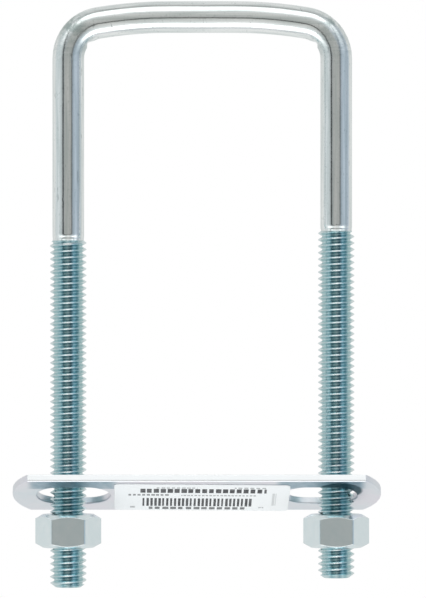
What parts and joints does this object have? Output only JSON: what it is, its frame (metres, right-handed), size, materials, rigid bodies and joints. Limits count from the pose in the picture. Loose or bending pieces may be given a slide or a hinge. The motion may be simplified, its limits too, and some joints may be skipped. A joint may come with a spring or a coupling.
{
  "type": "u-bolt",
  "caption": "Square-bend U-bolt with rolled threads on both legs, a slotted clamp plate held by hex nuts, and a paper label.",
  "frame": {"origin": "middle of the saddle: the underside of the crossbar, halfway between the legs, on the bar's centreline plane", "axes": "+X from the left leg to the right leg, +Z from the nuts up to the crossbar, +Y away from the labelled side of the plate"},
  "size_m": [0.0802, 0.0182, 0.1276],
  "materials": {
    "zinc_rod": "bright clear zinc plating on drawn bar",
    "zinc_plate": "bright clear zinc plating on rolled strip",
    "zinc_nut": "satin clear zinc plating",
    "label_paper": "matt white printed paper"
  },
  "bodies": {
    "bar": {"u_rod": "zinc_rod"},
    "plate": {"clamp_plate": "zinc_plate", "paper_label": "label_paper"},
    "nut_left": {"hex_nut_left": "zinc_nut"},
    "nut_right": {"hex_nut_right": "zinc_nut"}
  },
  "joints": [
    {"name": "plate_travel", "type": "slide", "parent": "bar", "child": "plate", "axis": [0, 0, 1], "range_m": [-0.00635, 0.05786]},
    {"name": "nut_left_turn", "type": "hinge", "parent": "plate", "child": "nut_left", "pos_m": [-0.02917, 0, -0.1084], "axis": [0, 0, 1], "range_deg": [-1621, 14761]},
    {"name": "nut_right_turn", "type": "hinge", "parent": "plate", "child": "nut_right", "pos_m": [0.02917, 0, -0.1084], "axis": [0, 0, 1], "range_deg": [-1621, 14761]}
  ],
  "couplings": [
    {"joint": "nut_left_turn", "follows": "plate_travel", "rad_per_m": 4452.7},
    {"joint": "nut_right_turn", "follows": "plate_travel", "rad_per_m": 4452.7}
  ]
}
